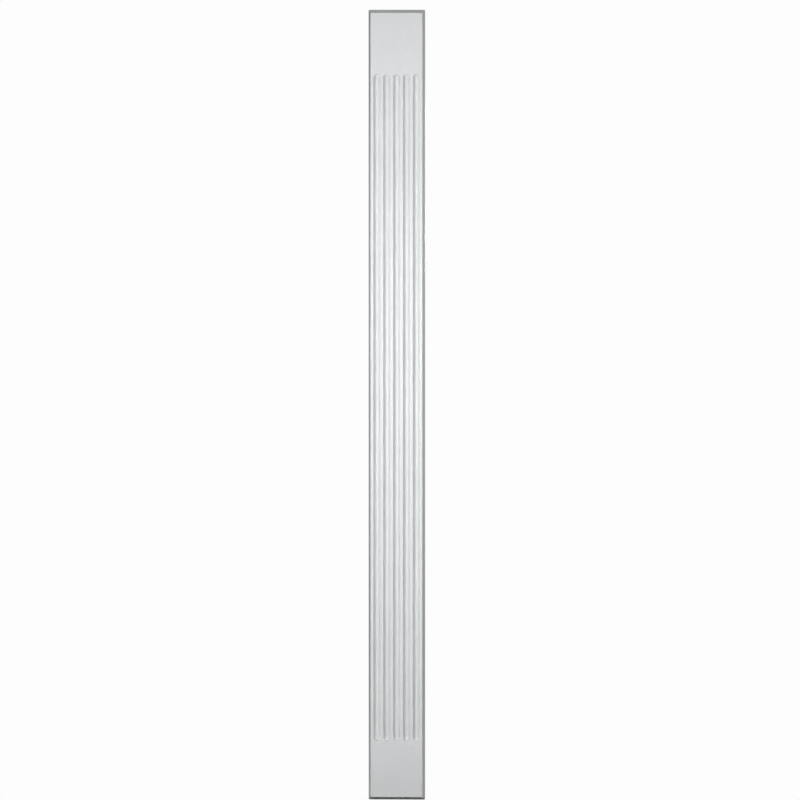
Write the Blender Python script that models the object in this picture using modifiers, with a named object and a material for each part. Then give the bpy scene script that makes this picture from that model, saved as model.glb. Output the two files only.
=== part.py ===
"""Fluted pilaster: one moulded board for a wall, with stopped flutes between a plain head and a plain foot.

The back lies on the wall, in the plane Y = 0, and the face looks along -Y. Z is up, and the origin is the
middle of the back. Run it with blender --background --python part.py, or from Blender's text editor.
"""

import math

import bmesh
import bpy

# Overall size, in metres. The width and height are those of the back, where the board is largest.
HEIGHT = 2.489
WIDTH = 0.178
PROJECTION = 0.030

# The edge: a square land against the wall, then sides and ends that lean in to the face.
BACK_LAND = 0.004
SIDE_DRAFT = 0.0074
END_DRAFT = 0.0095
CORNER_RADIUS = 0.003
ARRIS_RADIUS = 0.0008

# The flutes: round-bottomed channels with ball ends, spread evenly over the face.
FLUTE_COUNT = 5
FLUTE_WIDTH = 0.021
FLUTE_DEPTH = 0.010
OUTER_FILLET = 0.009
HEAD_FIELD = 0.202
FOOT_FIELD = 0.187

# How finely the round stretches are faceted.
TURN_STEPS = 48
BALL_STEPS = 12
CORNER_STEPS = 4
ARRIS_STEPS = 3
MERGE_DISTANCE = 0.00001

PRIMER_WHITE = (0.80, 0.81, 0.82, 1.0)
PRIMER_ROUGHNESS = 0.45


def clear_scene():
    for old in list(bpy.data.objects):
        bpy.data.objects.remove(old, do_unlink=True)


def new_collection(name):
    made = bpy.data.collections.new(name)
    bpy.context.scene.collection.children.link(made)
    return made


def primer_material():
    material = bpy.data.materials.new("white_primer")
    material.use_nodes = True
    shader = material.node_tree.nodes["Principled BSDF"]
    shader.inputs["Base Color"].default_value = PRIMER_WHITE
    shader.inputs["Roughness"].default_value = PRIMER_ROUGHNESS
    shader.inputs["Metallic"].default_value = 0.0
    return material


def face_width():
    return WIDTH - 2 * SIDE_DRAFT


def face_height():
    return HEIGHT - 2 * END_DRAFT


def round_edges(shape, edges, radius, steps):
    made = bmesh.ops.bevel(
        shape, geom=edges, offset=radius, segments=steps, profile=0.5, affect="EDGES"
    )
    for face in made["faces"]:
        face.smooth = True


def front_of(shape):
    return min(shape.faces, key=lambda face: face.calc_center_median().y)


def board_mesh():
    """The board before it is fluted: the land, then the edges leaning in to a face with rounded arrises."""
    shape = bmesh.new()
    bmesh.ops.create_cube(shape, size=1.0)
    bmesh.ops.scale(shape, vec=(WIDTH, BACK_LAND, HEIGHT), verts=shape.verts)
    bmesh.ops.translate(shape, vec=(0, -BACK_LAND / 2, 0), verts=shape.verts)
    corners = [edge for edge in shape.edges if abs(edge.verts[0].co.y - edge.verts[1].co.y) > MERGE_DISTANCE]
    round_edges(shape, corners, CORNER_RADIUS, CORNER_STEPS)

    land_front = front_of(shape)
    extruded = bmesh.ops.extrude_face_region(shape, geom=[land_front])
    bmesh.ops.delete(shape, geom=[land_front], context="FACES_ONLY")
    outline = [item for item in extruded["geom"] if isinstance(item, bmesh.types.BMVert)]
    bmesh.ops.scale(shape, vec=(face_width() / WIDTH, 1, face_height() / HEIGHT), verts=outline)
    bmesh.ops.translate(shape, vec=(0, BACK_LAND - PROJECTION, 0), verts=outline)
    round_edges(shape, list(front_of(shape).edges), ARRIS_RADIUS, ARRIS_STEPS)

    mesh = bpy.data.meshes.new("pilaster")
    shape.to_mesh(mesh)
    shape.free()
    return mesh


def flute_radius():
    """Radius of the arc that is FLUTE_WIDTH across at the face and FLUTE_DEPTH deep."""
    half_width = FLUTE_WIDTH / 2
    return (half_width**2 + FLUTE_DEPTH**2) / (2 * FLUTE_DEPTH)


def flute_places():
    """Where each flute's centre line lies across the face."""
    outermost = face_width() / 2 - OUTER_FILLET - FLUTE_WIDTH / 2
    pitch = 2 * outermost / (FLUTE_COUNT - 1)
    return [index * pitch - outermost for index in range(FLUTE_COUNT)]


def flute_cutter_mesh():
    """Half the outline of a rod with ball ends, from its top down, to be turned about the flute's axis."""
    radius = flute_radius()
    top_centre = HEIGHT / 2 - HEAD_FIELD - FLUTE_WIDTH / 2
    bottom_centre = -HEIGHT / 2 + FOOT_FIELD + FLUTE_WIDTH / 2
    angles = [math.pi / 2 * step / BALL_STEPS for step in range(BALL_STEPS + 1)]
    top_ball = [(radius * math.sin(a), 0, top_centre + radius * math.cos(a)) for a in angles]
    bottom_ball = [(radius * math.cos(a), 0, bottom_centre - radius * math.sin(a)) for a in angles]
    outline = top_ball + bottom_ball
    mesh = bpy.data.meshes.new("flute_outline")
    mesh.from_pydata(outline, [(i, i + 1) for i in range(len(outline) - 1)], [])
    return mesh


def add_flute_cutters(collection):
    """One turned cutter for each flute, its axis in front of the face, so that it bites FLUTE_DEPTH deep."""
    axis_depth = -PROJECTION - flute_radius() + FLUTE_DEPTH
    outline = flute_cutter_mesh()
    for number, place in enumerate(flute_places(), start=1):
        cutter = bpy.data.objects.new(f"flute_cutter_{number}", outline)
        cutter.location = (place, axis_depth, 0)
        cutter.hide_render = True
        cutter.display_type = "WIRE"
        collection.objects.link(cutter)
        turn = cutter.modifiers.new("turn", "SCREW")
        turn.axis = "Z"
        turn.steps = TURN_STEPS
        turn.render_steps = TURN_STEPS
        turn.use_merge_vertices = True
        turn.merge_threshold = MERGE_DISTANCE
        turn.use_smooth_shade = True


def add_pilaster(collection, cutters):
    pilaster = bpy.data.objects.new("pilaster", board_mesh())
    pilaster.data.materials.append(primer_material())
    collection.objects.link(pilaster)
    flutes = pilaster.modifiers.new("flutes", "BOOLEAN")
    flutes.operation = "DIFFERENCE"
    flutes.solver = "EXACT"
    flutes.operand_type = "COLLECTION"
    flutes.collection = cutters
    return pilaster


def main():
    clear_scene()
    parts = new_collection("Fluted pilaster")
    cutters = new_collection("Flute cutters")
    add_flute_cutters(cutters)
    add_pilaster(parts, cutters)


main()
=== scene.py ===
"""A fluted pilaster in white primer, upright in a plain white studio."""

import math

import bmesh
import bpy
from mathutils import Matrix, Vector


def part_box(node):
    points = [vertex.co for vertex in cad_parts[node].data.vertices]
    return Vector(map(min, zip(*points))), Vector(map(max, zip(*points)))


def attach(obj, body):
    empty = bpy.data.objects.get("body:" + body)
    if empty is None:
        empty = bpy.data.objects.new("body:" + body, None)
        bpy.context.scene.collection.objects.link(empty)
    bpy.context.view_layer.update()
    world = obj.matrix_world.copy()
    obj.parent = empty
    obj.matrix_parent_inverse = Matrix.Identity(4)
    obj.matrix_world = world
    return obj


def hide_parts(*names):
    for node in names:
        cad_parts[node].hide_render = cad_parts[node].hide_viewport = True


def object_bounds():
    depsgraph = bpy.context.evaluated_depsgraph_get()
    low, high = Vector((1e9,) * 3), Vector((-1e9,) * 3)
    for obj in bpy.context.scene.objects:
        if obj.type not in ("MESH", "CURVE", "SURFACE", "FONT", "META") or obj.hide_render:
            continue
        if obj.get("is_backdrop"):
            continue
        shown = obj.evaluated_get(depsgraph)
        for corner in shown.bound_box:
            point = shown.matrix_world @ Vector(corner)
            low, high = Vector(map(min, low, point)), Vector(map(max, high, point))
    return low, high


# The board, in metres. Its overall size comes from the pilaster part in model.glb.
BACK_LAND = 0.004
SIDE_DRAFT = 0.0074
END_DRAFT = 0.0095
CORNER_RADIUS = 0.003
ARRIS_RADIUS = 0.0008
BACK_EDGE_RADIUS = 0.0004
HOLDING_MARGIN = 0.0003

# The flutes.
FLUTE_COUNT = 5
FLUTE_WIDTH = 0.021
FLUTE_DEPTH = 0.010
OUTER_FILLET = 0.009
HEAD_FIELD = 0.202
FOOT_FIELD = 0.187
RIM_RADIUS = 0.0004

# How finely the round stretches are divided.
CORNER_STEPS = 8
BACK_EDGE_STEPS = 4
ARRIS_STEPS = 6
TROUGH_STEPS = 20
RIM_STEPS = 5
FLUTE_END_STEPS = 48

# The primer: its two tones, the share of each kind of patch in them, its roughness and its skin.
PRIMER_DEEP = (0.772, 0.790, 0.797, 1)
PRIMER_FULL = (0.818, 0.833, 0.839, 1)
CLOUD_SHARE = 0.46
DRIFT_SHARE = 0.1
MOTTLE_SHARE = 0.32
FLECK_SHARE = 0.12
PRIMER_TONE_RANGE = (0.36, 0.62)
PRIMER_ROUGHNESS = 0.27
SHEEN_SWING = 0.06
WAVE_DEPTH = 0.0004
PEEL_DEPTH = 0.00006
PEEL_SHARE = 0.8
GRAIN_SHARE = 0.2

# The bare foam of the back.
FOAM_DEEP = (0.60, 0.565, 0.49, 1)
FOAM_PALE = (0.72, 0.69, 0.615, 1)
# The darker tone in the pores is painted shade: it is laid where the pores sink in.
FOAM_PORE_SHADE = (0.50, 0.465, 0.39, 1)
FOAM_ROUGHNESS = 0.82
FOAM_ROUGHNESS_SWING = 0.08
FOAM_GLOSS = 0.35
FOAM_RELIEF = 0.00018
PORES_PER_METRE = 420.0
PORE_RANGE = (0.10, 0.34)
PORE_SHARE = 0.6
PLANING_SHARE = 0.4

# The primer that strayed round on to the back: its reach, its ragged border, and how much smoother it is.
OVERSPRAY_REACH = 0.009
OVERSPRAY_RAGGEDNESS = 0.012
OVERSPRAY_RANGE = (0.004, 0.014)
OVERSPRAY_SMOOTHING = 0.24

# The camera: the photograph is 800 pixels square and the board stands nearly as high as it.
IMAGE_PIXELS = 800
METRES_A_PIXEL = 0.0031496
BOARD_CENTRE_PIXEL = (396.92, 405.16)
CAMERA_YAW = 3.0
CAMERA_ELEVATION = 2.5
CAMERA_LENS = 500
CAMERA_SENSOR = 36
CAMERA_REACH = 200

# The studio: the white that the camera sees, the light that the room gives, and the floor.
BACKGROUND_WHITE = 0.982
AMBIENT = 0.01
FLOOR_SIZE = 30
FLOOR_BOUNCE = (0.34, 0.34, 0.34, 1)
CONTACT_SHADE = (0.88, 0.88, 0.885, 1)
CONTACT_REACH = 0.05
CONTACT_SAMPLES = 8

# Each light has its bearing from the board's front and its height above the middle of the lights, both in
# degrees, then its width and length in metres, its spread in degrees and its power in watts.
LIGHT_DISTANCE = 2.6
LIGHT_CENTRE = 0.3
LIGHTS = (
    ("key_middle", -37, 40, 0.08, 0.3, 55, 1.35),
    ("key_lower", -37, -12, 0.08, 0.8, 180, 18.8),
    ("front_upper", 0, 20, 0.08, 0.8, 180, 3.5),
    ("front_soft", 0, 0, 0.08, 0.8, 180, 10.9),
    ("front_lower", 0, -12, 0.08, 0.8, 180, 8.6),
    ("front_under", 0, -30, 0.08, 0.8, 180, 6.2),
    ("right_upper", 35, 20, 0.08, 0.8, 180, 5.4),
    ("right_graze", 80, 6, 0.08, 0.8, 180, 20.6),
    ("crown", 0, 80, 0.08, 0.8, 180, 9.3),
    ("rear_soft", 180, 8, 0.6, 0.6, 180, 60.0),
)


class Value:
    """An output socket of a shader. Arithmetic on it adds Math nodes."""

    def __init__(self, shader, socket):
        self.shader = shader
        self.socket = socket

    def maths(self, operation, first, second=0.0):
        return self.shader.value("ShaderNodeMath", 0, {"operation": operation}, {0: first, 1: second})

    def __add__(self, other):
        return self.maths("ADD", self, other)

    def __radd__(self, other):
        return self.maths("ADD", other, self)

    def __sub__(self, other):
        return self.maths("SUBTRACT", self, other)

    def __rsub__(self, other):
        return self.maths("SUBTRACT", other, self)

    def __mul__(self, other):
        return self.maths("MULTIPLY", self, other)

    def __rmul__(self, other):
        return self.maths("MULTIPLY", other, self)

    def __abs__(self):
        return self.maths("ABSOLUTE", self)


class Shader:
    """The node tree of a material or of the world."""

    def __init__(self, owner):
        owner.use_nodes = True
        self.tree = owner.node_tree
        self.tree.nodes.clear()

    def node(self, kind, settings=None, sockets=None):
        made = self.tree.nodes.new(kind)
        for name, setting in (settings or {}).items():
            setattr(made, name, setting)
        for name, given in (sockets or {}).items():
            self.feed(made.inputs[name], given)
        return made

    def feed(self, socket, given):
        if isinstance(given, Value):
            self.tree.links.new(given.socket, socket)
        else:
            socket.default_value = given

    def value(self, kind, output, settings=None, sockets=None):
        return Value(self, self.node(kind, settings, sockets).outputs[output])

    def place(self):
        return self.value("ShaderNodeTexCoord", "Object")

    def noise(self, place, per_metre, detail=2.0, roughness=0.5):
        sockets = {"Vector": place, "Scale": per_metre, "Detail": detail, "Roughness": roughness}
        return self.value("ShaderNodeTexNoise", "Fac", sockets=sockets)

    def stretched(self, place, scale):
        return self.value("ShaderNodeMapping", 0, sockets={"Vector": place, "Scale": scale})

    def along(self, place, axis):
        return self.value("ShaderNodeSeparateXYZ", axis, sockets={0: place})

    def between(self, amount, low, high):
        """Where amount lies from low to high, from 0 to 1 and clamped there."""
        sockets = {"Value": amount, "From Min": low, "From Max": high}
        return self.value("ShaderNodeMapRange", "Result", {"clamp": True}, sockets)

    def blend(self, amount, first, second):
        """A colour that goes from first to second."""
        mix = self.node("ShaderNodeMix", {"data_type": "RGBA", "clamp_factor": True})
        for name, given in (("Factor", amount), ("A", first), ("B", second)):
            self.feed(next(item for item in mix.inputs if item.name == name and item.enabled), given)
        return Value(self, next(item for item in mix.outputs if item.enabled))

    def bump(self, strength, depth, height, beneath=None):
        """A relief of that depth in metres, which may lie on another relief."""
        sockets = {"Strength": strength, "Distance": depth, "Height": height}
        if beneath:
            sockets["Normal"] = beneath
        return self.value("ShaderNodeBump", "Normal", sockets=sockets)

    def finish(self, color, roughness, normal, gloss=0.5):
        sockets = {
            "Base Color": color,
            "Roughness": roughness,
            "Specular IOR Level": gloss,
            "Normal": normal,
        }
        surface = self.value("ShaderNodeBsdfPrincipled", 0, sockets=sockets)
        self.node("ShaderNodeOutputMaterial", sockets={"Surface": surface})


def primer_tone(shader, place):
    """Sprayed primer: broad clouds, drifts that run with the board, small mottles and a fine fleck."""
    clouds = shader.noise(place, per_metre=9.0, detail=3.0, roughness=0.55)
    drifts = shader.noise(shader.stretched(place, (40.0, 40.0, 6.0)), per_metre=1.0)
    mottles = shader.noise(place, per_metre=48.0, detail=3.0, roughness=0.6)
    flecks = shader.noise(place, per_metre=260.0)
    tone = clouds * CLOUD_SHARE + drifts * DRIFT_SHARE + mottles * MOTTLE_SHARE + flecks * FLECK_SHARE
    return shader.blend(shader.between(tone, *PRIMER_TONE_RANGE), PRIMER_DEEP, PRIMER_FULL)


def primer_finish():
    """Satin primer over moulded foam: clouded white, slightly wavy, with a fine orange peel."""
    material = bpy.data.materials.new("white_primer")
    shader = Shader(material)
    place = shader.place()
    sheen = shader.noise(place, per_metre=22.0, detail=3.0, roughness=0.6)
    waves = shader.noise(place, per_metre=7.0, detail=1.0)
    peel = shader.noise(place, per_metre=420.0)
    grain = shader.noise(place, per_metre=1500.0)
    moulded = shader.bump(strength=0.06, depth=WAVE_DEPTH, height=waves)
    texture = peel * PEEL_SHARE + grain * GRAIN_SHARE
    skin = shader.bump(strength=0.16, depth=PEEL_DEPTH, height=texture, beneath=moulded)
    shader.finish(primer_tone(shader, place), PRIMER_ROUGHNESS + SHEEN_SWING * sheen, skin)
    return material


def raw_back_finish(half_width, half_height):
    """Bare foam for the back: cream, matt, pored and planed across, with painted shade in its pores and
    primer strayed on to its border.
    """
    material = bpy.data.materials.new("raw_foam_back")
    shader = Shader(material)
    place = shader.place()
    clouds = shader.noise(place, per_metre=14.0, detail=4.0, roughness=0.6)
    planing = shader.noise(shader.stretched(place, (3.0, 3.0, 260.0)), per_metre=1.0, detail=1.0)
    cells = {"Vector": place, "Scale": PORES_PER_METRE}
    pores = shader.value("ShaderNodeTexVoronoi", "Distance", {"feature": "F1"}, cells)
    pit = shader.between(pores, *PORE_RANGE)
    # Painted shade: the pits are darkened in colour where their relief sinks lowest.
    foam = shader.blend(pit, FOAM_PORE_SHADE, shader.blend(clouds, FOAM_DEEP, FOAM_PALE))

    beside = abs(shader.along(place, "X")) - (half_width - OVERSPRAY_REACH)
    above = abs(shader.along(place, "Z")) - (half_height - OVERSPRAY_REACH)
    outward = beside.maths("MAXIMUM", beside, above)
    ragged = shader.noise(place, per_metre=90.0, detail=4.0, roughness=0.7)
    strayed = shader.between(outward + ragged * OVERSPRAY_RAGGEDNESS, *OVERSPRAY_RANGE)
    color = shader.blend(strayed, foam, primer_tone(shader, place))
    roughness = FOAM_ROUGHNESS - OVERSPRAY_SMOOTHING * strayed + FOAM_ROUGHNESS_SWING * clouds
    texture = pit * PORE_SHARE + planing * PLANING_SHARE
    relief = shader.bump(strength=0.6, depth=FOAM_RELIEF, height=texture)
    shader.finish(color, roughness, relief, gloss=FOAM_GLOSS)
    return material


def rounded_outline(shape, half_width, half_height, radius, depth):
    """A loop of vertices round a rectangle with rounded corners, at that depth in front of the wall."""
    loop = []
    for corner in range(4):
        along = math.cos(math.radians(45 + 90 * corner))
        up = math.sin(math.radians(45 + 90 * corner))
        centre_x = math.copysign(half_width - radius, along)
        centre_z = math.copysign(half_height - radius, up)
        for step in range(CORNER_STEPS + 1):
            angle = math.radians(90 * (corner + step / CORNER_STEPS))
            x = centre_x + radius * math.cos(angle)
            z = centre_z + radius * math.sin(angle)
            loop.append(shape.verts.new((x, -depth, z)))
    return loop


def join_loops(shape, first, second):
    """A band of quads between two loops of as many vertices."""
    for index in range(len(first)):
        after = (index + 1) % len(first)
        shape.faces.new((first[index], first[after], second[after], second[index]))


def edge_profile(projection):
    """The board's edge from the back to the face: each point's depth, its share of the lean, and its inset.

    The lean differs between the sides and the ends, so it is a share here. The inset is a length beside it.
    Points a margin away from each turn hold the flats flat.
    """
    points = [(0.0, 0.0, BACK_EDGE_RADIUS + HOLDING_MARGIN)]
    for step in range(BACK_EDGE_STEPS + 1):
        angle = math.pi / 2 * step / BACK_EDGE_STEPS
        depth = BACK_EDGE_RADIUS * (1 - math.cos(angle))
        inset = BACK_EDGE_RADIUS * (1 - math.sin(angle))
        points.append((depth, 0.0, inset))
    rise = projection - BACK_LAND
    for depth in (BACK_EDGE_RADIUS + HOLDING_MARGIN, BACK_LAND - HOLDING_MARGIN, BACK_LAND):
        points.append((depth, 0.0, 0.0))

    lean = math.atan2(SIDE_DRAFT, rise)
    turn = math.pi / 2 - lean
    reach = ARRIS_RADIUS * math.tan(turn / 2)
    for short in (rise - HOLDING_MARGIN, reach * math.cos(lean) + HOLDING_MARGIN, reach * math.cos(lean)):
        share = 1 - short / rise
        points.append((BACK_LAND + rise * share, share, 0.0))
    for step in range(1, ARRIS_STEPS + 1):
        angle = lean + turn * step / ARRIS_STEPS
        depth = projection - ARRIS_RADIUS * (1 - math.sin(angle))
        inset = reach - ARRIS_RADIUS * math.cos(angle)
        points.append((depth, 1.0, inset))
    points.append((projection, 1.0, reach + HOLDING_MARGIN))
    return points


def flute_profile():
    """Half a flute's section, from its middle out: distances from the middle and below the face."""
    half_width = FLUTE_WIDTH / 2
    radius = (half_width**2 + FLUTE_DEPTH**2) / (2 * FLUTE_DEPTH)
    centre_height = radius - FLUTE_DEPTH
    rim_centre = math.sqrt((radius + RIM_RADIUS) ** 2 - (centre_height + RIM_RADIUS) ** 2)
    steepest = math.atan2(rim_centre, centre_height + RIM_RADIUS)
    points = []
    for step in range(TROUGH_STEPS + 1):
        angle = steepest * step / TROUGH_STEPS
        points.append((radius * math.sin(angle), radius * math.cos(angle) - centre_height))
    for step in range(1, RIM_STEPS + 1):
        angle = steepest * (1 - step / RIM_STEPS)
        points.append((rim_centre - RIM_RADIUS * math.sin(angle), RIM_RADIUS * (1 - math.cos(angle))))
    points.append((rim_centre + HOLDING_MARGIN, 0.0))
    return points


def flute_ring(shape, place, top, bottom, distance, depth):
    """A loop that keeps one distance from a flute's centre line: two straight sides and two round ends."""
    loop = []
    for centre, start in ((top, 0.0), (bottom, math.pi)):
        for step in range(FLUTE_END_STEPS + 1):
            angle = start + math.pi * step / FLUTE_END_STEPS
            x = place + distance * math.cos(angle)
            z = centre + distance * math.sin(angle)
            loop.append(shape.verts.new((x, -depth, z)))
    return loop


def cut_flute(shape, place, top, bottom, projection):
    """A flute's trough, ball ends and softened rim. It returns the loop that the face joins."""
    profile = flute_profile()
    deepest = projection - profile[0][1]
    spine_top = shape.verts.new((place, -deepest, top))
    spine_bottom = shape.verts.new((place, -deepest, bottom))
    rings = [
        flute_ring(shape, place, top, bottom, distance, projection - below) for distance, below in profile[1:]
    ]
    inner = rings[0]
    half = FLUTE_END_STEPS + 1
    for centre, arc in ((spine_top, inner[:half]), (spine_bottom, inner[half:])):
        for first, second in zip(arc, arc[1:]):
            shape.faces.new((centre, first, second))
    shape.faces.new((inner[half - 1], inner[half], spine_bottom, spine_top))
    shape.faces.new((inner[-1], inner[0], spine_top, spine_bottom))
    for first, second in zip(rings, rings[1:]):
        join_loops(shape, first, second)
    return rings[-1]


def edges_of(loop):
    """The edges round a loop of vertices."""
    return [
        next(edge for edge in first.link_edges if edge.other_vert(first) is second)
        for first, second in zip(loop, loop[1:] + loop[:1])
    ]


def pilaster_mesh(low, high):
    shape = bmesh.new()
    half_width = (high.x - low.x) / 2
    half_height = (high.z - low.z) / 2
    projection = high.y - low.y
    loops = []
    for depth, lean, inset in edge_profile(projection):
        width = half_width - SIDE_DRAFT * lean - inset
        height = half_height - END_DRAFT * lean - inset
        loops.append(rounded_outline(shape, width, height, CORNER_RADIUS - inset, depth))
    for first, second in zip(loops, loops[1:]):
        join_loops(shape, first, second)
    back = shape.faces.new(loops[0])

    outermost = half_width - SIDE_DRAFT - OUTER_FILLET - FLUTE_WIDTH / 2
    pitch = 2 * outermost / (FLUTE_COUNT - 1)
    top = half_height - HEAD_FIELD - FLUTE_WIDTH / 2
    bottom = -half_height + FOOT_FIELD + FLUTE_WIDTH / 2
    face_edges = edges_of(loops[-1])
    for number in range(FLUTE_COUNT):
        rim = cut_flute(shape, number * pitch - outermost, top, bottom, projection)
        face_edges += edges_of(rim)
    bmesh.ops.triangle_fill(shape, edges=face_edges, use_beauty=True, normal=(0, -1, 0))
    bmesh.ops.recalc_face_normals(shape, faces=shape.faces)
    for face in shape.faces:
        face.smooth = True
    back.material_index = 1

    mesh = bpy.data.meshes.new("fluted_pilaster")
    shape.to_mesh(mesh)
    shape.free()
    return mesh


def add_pilaster():
    low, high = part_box("pilaster")
    board = bpy.data.objects.new("fluted_pilaster", pilaster_mesh(low, high))
    bpy.context.scene.collection.objects.link(board)
    board.data.materials.append(primer_finish())
    board.data.materials.append(raw_back_finish(high.x, high.z))
    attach(board, "root")
    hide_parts("pilaster")


def add_floor(height):
    """A plain white floor that meets the white background, shaded only close round the board's foot."""
    bpy.ops.mesh.primitive_plane_add(size=FLOOR_SIZE, location=(0, 0, height))
    floor = bpy.context.object
    floor.name = "studio_floor"
    material = bpy.data.materials.new("studio_floor")
    shader = Shader(material)
    near = {"Distance": CONTACT_REACH}
    openness = shader.value("ShaderNodeAmbientOcclusion", "AO", {"samples": CONTACT_SAMPLES}, near)
    white = (BACKGROUND_WHITE, BACKGROUND_WHITE, BACKGROUND_WHITE, 1)
    shown = shader.blend(openness, CONTACT_SHADE, white)
    seen = shader.value("ShaderNodeEmission", 0, sockets={"Color": shown, "Strength": 1.0})
    lit = shader.value("ShaderNodeBsdfDiffuse", 0, sockets={"Color": FLOOR_BOUNCE})
    by_camera = shader.value("ShaderNodeLightPath", "Is Camera Ray")
    surface = shader.value("ShaderNodeMixShader", 0, sockets={0: by_camera, 1: lit, 2: seen})
    shader.node("ShaderNodeOutputMaterial", sockets={"Surface": surface})
    floor.data.materials.append(material)
    floor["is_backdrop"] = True


def add_world():
    world = bpy.data.worlds.new("white_studio")
    bpy.context.scene.world = world
    shader = Shader(world)
    around, white = (
        shader.value("ShaderNodeBackground", 0, sockets={"Color": (1, 1, 1, 1), "Strength": strength})
        for strength in (AMBIENT, BACKGROUND_WHITE)
    )
    by_camera = shader.value("ShaderNodeLightPath", "Is Camera Ray")
    surface = shader.value("ShaderNodeMixShader", 0, sockets={0: by_camera, 1: around, 2: white})
    shader.node("ShaderNodeOutputWorld", sockets={"Surface": surface})


def toward(bearing, height):
    """The direction at that bearing, to the right of the board's front, and that height, in degrees."""
    turned, raised = math.radians(bearing), math.radians(height)
    return Vector(
        (math.sin(turned) * math.cos(raised), -math.cos(turned) * math.cos(raised), math.sin(raised))
    )


def add_light(name, bearing, height, width, length, spread, watts):
    light = bpy.data.lights.new(name, "AREA")
    light.shape = "RECTANGLE"
    light.size = width
    light.size_y = length
    light.spread = math.radians(spread)
    light.energy = watts
    lamp = bpy.data.objects.new(name, light)
    away = toward(bearing, height)
    lamp.location = Vector((0, 0, LIGHT_CENTRE)) + away * LIGHT_DISTANCE
    lamp.rotation_euler = (-away).to_track_quat("-Z", "Y").to_euler()
    lamp.visible_camera = False
    bpy.context.scene.collection.objects.link(lamp)


def add_camera():
    view = bpy.data.cameras.new("photograph")
    view.lens = CAMERA_LENS
    view.sensor_width = CAMERA_SENSOR
    view.clip_end = CAMERA_REACH
    camera = bpy.data.objects.new("photograph", view)
    back = toward(CAMERA_YAW, CAMERA_ELEVATION)
    distance = IMAGE_PIXELS * METRES_A_PIXEL / 2 / (CAMERA_SENSOR / 2 / CAMERA_LENS)
    turn = (-back).to_track_quat("-Z", "Y")
    right = turn @ Vector((1, 0, 0))
    up = turn @ Vector((0, 1, 0))
    low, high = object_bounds()
    aside = (IMAGE_PIXELS / 2 - BOARD_CENTRE_PIXEL[0]) * METRES_A_PIXEL
    above = (BOARD_CENTRE_PIXEL[1] - IMAGE_PIXELS / 2) * METRES_A_PIXEL
    middle = Vector((0, 0, (low.z + high.z) / 2))
    camera.location = middle + right * aside + up * above + back * distance
    camera.rotation_mode = "QUATERNION"
    camera.rotation_quaternion = turn
    bpy.context.scene.collection.objects.link(camera)
    bpy.context.scene.camera = camera


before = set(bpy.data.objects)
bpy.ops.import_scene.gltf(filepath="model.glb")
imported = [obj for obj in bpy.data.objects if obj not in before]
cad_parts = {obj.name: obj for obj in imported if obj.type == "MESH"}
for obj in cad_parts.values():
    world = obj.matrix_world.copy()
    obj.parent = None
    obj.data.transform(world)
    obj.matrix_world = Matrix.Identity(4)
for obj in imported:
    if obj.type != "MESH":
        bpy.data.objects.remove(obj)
cad_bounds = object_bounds()
add_pilaster()
add_floor(cad_bounds[0].z)
add_world()
for each in LIGHTS:
    add_light(*each)
add_camera()
bpy.context.scene.view_settings.view_transform = "Standard"
